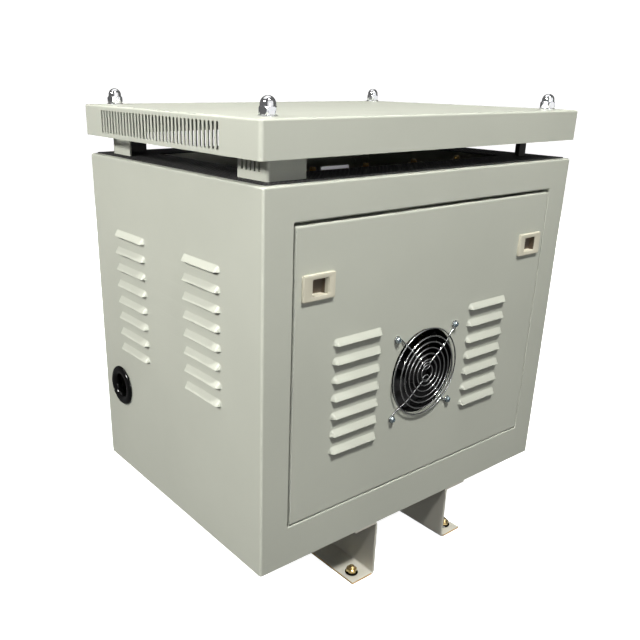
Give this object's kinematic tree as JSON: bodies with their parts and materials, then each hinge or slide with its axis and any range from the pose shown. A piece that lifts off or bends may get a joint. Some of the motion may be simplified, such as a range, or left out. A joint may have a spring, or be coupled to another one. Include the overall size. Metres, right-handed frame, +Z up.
{
  "type": "enclosed dry-type three-phase autotransformer",
  "caption": "Fan-cooled sheet-metal cabinet on two channel feet holding a dry-type three-phase autotransformer, with a raised roof cover and a lift-off front panel.",
  "frame": {"origin": "centre of the object's footprint, on the surface that the channel feet stand on", "axes": "+X to the right seen from the front, +Y from the front panel to the back, +Z up"},
  "size_m": [0.529, 0.398, 0.6086],
  "materials": {
    "cabinet_paint": "satin textured powder coat, warm light grey",
    "black_steel": "satin black paint",
    "grommet_rubber": "glossy black",
    "chrome": "polished",
    "foot_paint": "semi-gloss grey-beige paint with bare ochre edges",
    "yellow_zinc": "yellow chromate zinc plate on steel",
    "core_steel": "varnished laminated core steel",
    "winding": "varnished copper winding with brown film insulation",
    "insulating_board": "satin glass-filled laminate",
    "brass": "turned",
    "latch_plastic": "satin ivory moulding",
    "fan_plastic": "fine-textured black moulding",
    "zinc": "bright bluish zinc plate"
  },
  "bodies": {
    "cabinet": {"left_side_panel": "cabinet_paint", "right_side_panel": "cabinet_paint", "back_panel": "cabinet_paint", "left_stile": "cabinet_paint", "right_stile": "cabinet_paint", "bottom_rail": "cabinet_paint", "top_rail": "cabinet_paint", "floor_pan": "cabinet_paint", "top_flange": "cabinet_paint", "roof_cover": "cabinet_paint", "roof_post_front_left": "cabinet_paint", "roof_post_back_left": "cabinet_paint", "top_grille": "black_steel", "roof_post_front_right": "black_steel", "roof_post_back_right": "black_steel", "terminal_bracket": "black_steel", "yoke_clamp_bottom_front": "black_steel", "yoke_clamp_bottom_back": "black_steel", "yoke_clamp_top_front": "black_steel", "yoke_clamp_top_back": "black_steel", "cable_grommet": "grommet_rubber", "acorn_nut_front_left": "chrome", "acorn_nut_front_right": "chrome", "acorn_nut_back_left": "chrome", "acorn_nut_back_right": "chrome", "foot_channel_left": "foot_paint", "foot_channel_right": "foot_paint", "foot_bolt_front_left": "yellow_zinc", "foot_bolt_front_right": "yellow_zinc", "foot_bolt_back_left": "yellow_zinc", "foot_bolt_back_right": "yellow_zinc", "foot_nut_front_left": "yellow_zinc", "foot_nut_front_right": "yellow_zinc", "foot_nut_back_left": "yellow_zinc", "foot_nut_back_right": "yellow_zinc", "core_bottom_yoke": "core_steel", "core_top_yoke": "core_steel", "core_leg_a": "core_steel", "core_leg_b": "core_steel", "core_leg_c": "core_steel", "coil_a": "winding", "coil_b": "winding", "coil_c": "winding", "terminal_board": "insulating_board", "terminal_stud_1": "brass", "terminal_stud_2": "brass", "terminal_stud_3": "brass", "terminal_stud_4": "brass"},
    "front_panel": {"front_panel": "cabinet_paint", "latch_cup_left": "latch_plastic", "latch_cup_right": "latch_plastic", "fan_frame": "fan_plastic", "fan_guard": "chrome", "fan_screw_top_left": "zinc", "fan_screw_top_right": "zinc", "fan_screw_bottom_left": "zinc", "fan_screw_bottom_right": "zinc"},
    "latch_left": {"latch_slider_left": "latch_plastic"},
    "latch_right": {"latch_slider_right": "latch_plastic"},
    "fan": {"fan_rotor": "fan_plastic"}
  },
  "joints": [
    {"name": "panel_tilt", "type": "hinge", "parent": "cabinet", "child": "front_panel", "pos_m": [0, -0.191, 0.135], "axis": [1, 0, 0], "range_deg": [0, 35]},
    {"name": "latch_left_slide", "type": "slide", "parent": "front_panel", "child": "latch_left", "axis": [-1, 0, 0], "range_m": [0, 0.008]},
    {"name": "latch_right_slide", "type": "slide", "parent": "front_panel", "child": "latch_right", "axis": [1, 0, 0], "range_m": [0, 0.008]},
    {"name": "fan_spin", "type": "hinge", "parent": "front_panel", "child": "fan", "pos_m": [-0.0057, -0.171, 0.2803], "axis": [0, 1, 0], "continuous": true}
  ]
}
